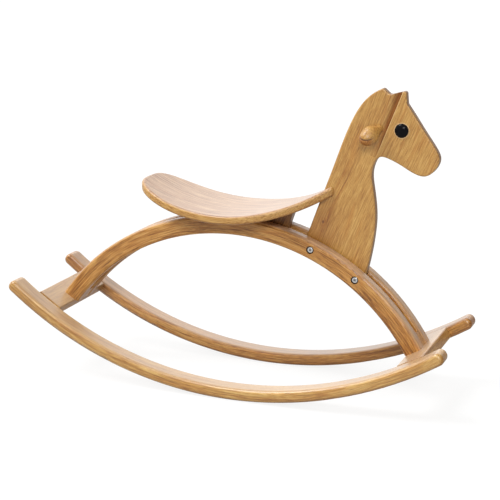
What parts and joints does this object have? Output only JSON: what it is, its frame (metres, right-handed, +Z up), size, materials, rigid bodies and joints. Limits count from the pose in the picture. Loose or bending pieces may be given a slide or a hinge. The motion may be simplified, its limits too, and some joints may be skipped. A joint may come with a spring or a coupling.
{
  "type": "rocking horse",
  "caption": "Wooden rocking horse: bent rockers joined by cross boards, a twin-rail arch, a dished seat and a flat carved head with peg ears.",
  "frame": {"origin": "on the floor and the middle plane, under the lowest line of the rockers", "axes": "+X the way the horse faces, +Y its left side, +Z up"},
  "size_m": [0.8877, 0.277, 0.5918],
  "materials": {
    "rail_wood": "semi-gloss lacquer",
    "board_wood": "semi-gloss lacquer",
    "head_wood": "semi-gloss lacquer",
    "seat_wood": "semi-gloss lacquer",
    "dowel_wood": "raw",
    "eye_black": "gloss",
    "bolt_steel": "bright nickel",
    "screw_steel": "zinc"
  },
  "bodies": {
    "root": {"arch_rail_left": "rail_wood", "arch_rail_right": "rail_wood", "ear_left": "head_wood", "ear_right": "head_wood", "eye_left": "eye_black", "eye_right": "eye_black", "front_board_dowels": "dowel_wood", "front_cross_board": "board_wood", "front_foot_screws": "screw_steel", "front_spacer_block": "board_wood", "front_spacer_dowel": "dowel_wood", "head_and_neck_board": "head_wood", "neck_bolt_nuts": "bolt_steel", "neck_bolts": "bolt_steel", "rear_board_dowels": "dowel_wood", "rear_cross_board": "board_wood", "rear_foot_screws": "screw_steel", "rear_spacer_block": "board_wood", "rear_spacer_dowel": "dowel_wood", "rocker_left": "rail_wood", "rocker_right": "rail_wood", "seat": "seat_wood", "seat_screws": "screw_steel", "seat_support_block": "board_wood", "support_block_dowels": "dowel_wood"}
  },
  "joints": []
}
